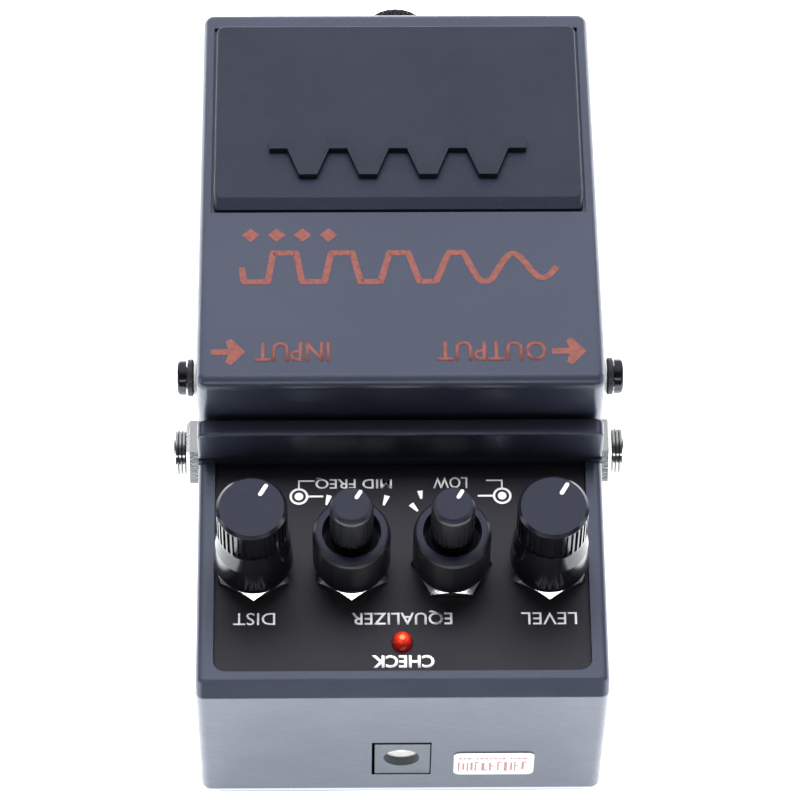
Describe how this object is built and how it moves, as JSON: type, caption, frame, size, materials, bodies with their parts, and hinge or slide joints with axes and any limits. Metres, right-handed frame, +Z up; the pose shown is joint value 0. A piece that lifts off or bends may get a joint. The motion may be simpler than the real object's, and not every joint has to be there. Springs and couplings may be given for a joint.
{
  "type": "guitar effects pedal",
  "caption": "Compact guitar effects pedal with a hinged foot treadle, a row of single and dual control knobs, side jacks and a rear power socket.",
  "frame": {"origin": "on the ground, in the middle of the pedal's footprint", "axes": "+Z up, -Y towards the player (the thumbscrew end), +X towards the player's right hand (the input jack side)"},
  "size_m": [0.0756, 0.1314, 0.0586],
  "materials": {
    "base_rubber": "matt moulded rubber",
    "battery_shell": "printed metal jacket",
    "black_nylon": "black nylon",
    "black_plastic": "moulded black plastic",
    "black_screw": "black oxide steel",
    "board": "green solder mask on fibreglass",
    "bright_screw": "zinc plated steel",
    "capacitor": "sleeved aluminium can",
    "case_paint": "satin dark paint on die-cast aluminium",
    "chip": "moulded epoxy",
    "chrome": "bright nickel plate",
    "emblem_rubber": "smooth moulded rubber",
    "grey_plastic": "moulded grey plastic",
    "knob_plastic": "moulded satin black plastic",
    "label_white": "white printed film",
    "lamp_red": "translucent red epoxy",
    "nylon": "natural nylon",
    "pad_rubber": "matt moulded rubber",
    "panel_print": "matt black printed sheet",
    "plate_steel": "painted steel plate",
    "satin_nickel": "bright nickel plate",
    "spring_steel": "spring steel",
    "treadle_paint": "satin slate blue-grey paint on die-cast aluminium",
    "wire": "insulated wire"
  },
  "bodies": {
    "case": {"base_screws": "bright_screw", "battery_block": "battery_shell", "battery_leads": "wire", "battery_snap": "black_plastic", "board_spacers": "nylon", "bottom_plate": "plate_steel", "chassis": "case_paint", "check_lamp": "lamp_red", "check_lamp_holder": "black_plastic", "control_board": "board", "control_bushings": "chrome", "control_dist_can": "bright_screw", "control_level_can": "bright_screw", "control_low_high_can": "bright_screw", "control_mid_freq_can": "bright_screw", "control_nuts": "chrome", "control_panel": "panel_print", "dc_socket_body": "grey_plastic", "dc_socket_pin": "chrome", "electrolytic_capacitors": "capacitor", "foot_switch_body": "black_plastic", "foot_switch_bracket": "bright_screw", "foot_switch_screws": "bright_screw", "hinge_screws": "black_screw", "hinge_spacers": "black_nylon", "input_jack_body": "black_plastic", "input_jack_bushing": "satin_nickel", "input_jack_contacts": "chrome", "jack_nuts": "satin_nickel", "jack_washers": "satin_nickel", "main_board": "board", "op_amp_chips": "chip", "output_jack_body": "black_plastic", "output_jack_bushing": "satin_nickel", "output_jack_contacts": "chrome", "rear_label": "label_white", "rubber_base": "base_rubber", "thumbscrew_guide_bush": "nylon"},
    "hinge_carrier": {"hinge_bushes": "nylon", "return_spring": "spring_steel"},
    "treadle_lid": {"treadle": "treadle_paint", "treadle_rubber_pad": "pad_rubber", "pad_emblem": "emblem_rubber", "spring_seat": "nylon", "switch_actuator": "black_nylon"},
    "thumbscrew_collar": {"thumbscrew_clip": "spring_steel"},
    "thumbscrew_shaft": {"thumbscrew": "black_screw"},
    "switch_button": {"foot_switch_plunger": "nylon"},
    "level_control": {"control_level_shaft": "bright_screw", "knob_level": "knob_plastic"},
    "dist_control": {"control_dist_shaft": "bright_screw", "knob_dist": "knob_plastic"},
    "low_ring_control": {"control_low_high_shaft": "bright_screw", "knob_low_high_ring": "knob_plastic"},
    "high_inner_control": {"control_low_high_inner_shaft": "bright_screw", "knob_low_high_inner": "knob_plastic"},
    "mid_ring_control": {"control_mid_freq_shaft": "bright_screw", "knob_mid_freq_ring": "knob_plastic"},
    "mid_inner_control": {"control_mid_freq_inner_shaft": "bright_screw", "knob_mid_freq_inner": "knob_plastic"}
  },
  "joints": [
    {"name": "treadle_open", "type": "hinge", "parent": "case", "child": "hinge_carrier", "pos_m": [0, 0.0134, 0.05], "axis": [-1, 0, 0], "range_deg": [0, 36]},
    {"name": "treadle_press", "type": "hinge", "parent": "hinge_carrier", "child": "treadle_lid", "pos_m": [0, 0.0134, 0.05], "axis": [-1, 0, 0], "range_deg": [-2.4, 0], "stiffness_Nm_per_rad": 12, "springref_deg": 1.15, "deforming": ["return_spring"]},
    {"name": "thumbscrew_travel", "type": "slide", "parent": "treadle_lid", "child": "thumbscrew_collar", "axis": [0, 1, 0], "range_m": [0, 0.003]},
    {"name": "thumbscrew_turn", "type": "hinge", "parent": "thumbscrew_collar", "child": "thumbscrew_shaft", "pos_m": [0, -0.06, 0.0376], "axis": [0, 1, 0], "range_deg": [0, 1081]},
    {"name": "switch_travel", "type": "slide", "parent": "case", "child": "switch_button", "axis": [0, 0, 1], "range_m": [-0.001, 0]},
    {"name": "level_turn", "type": "hinge", "parent": "case", "child": "level_control", "pos_m": [-0.024, 0.0421, 0.0396], "axis": [0, 0, -1], "range_deg": [0, 300]},
    {"name": "dist_turn", "type": "hinge", "parent": "case", "child": "dist_control", "pos_m": [0.024, 0.0421, 0.0396], "axis": [0, 0, -1], "range_deg": [0, 300]},
    {"name": "low_turn", "type": "hinge", "parent": "case", "child": "low_ring_control", "pos_m": [-0.0081, 0.0421, 0.0396], "axis": [0, 0, -1], "range_deg": [0, 300]},
    {"name": "high_turn", "type": "hinge", "parent": "case", "child": "high_inner_control", "pos_m": [-0.0081, 0.0421, 0.0396], "axis": [0, 0, -1], "range_deg": [0, 300]},
    {"name": "mid_freq_turn", "type": "hinge", "parent": "case", "child": "mid_ring_control", "pos_m": [0.0081, 0.0421, 0.0396], "axis": [0, 0, -1], "range_deg": [0, 300]},
    {"name": "mid_level_turn", "type": "hinge", "parent": "case", "child": "mid_inner_control", "pos_m": [0.0081, 0.0421, 0.0396], "axis": [0, 0, -1], "range_deg": [0, 300]}
  ],
  "couplings": [
    {"joint": "switch_travel", "follows": "treadle_press", "m_per_rad": 0.0214},
    {"joint": "thumbscrew_turn", "follows": "thumbscrew_travel", "rad_per_m": 6283.2}
  ]
}
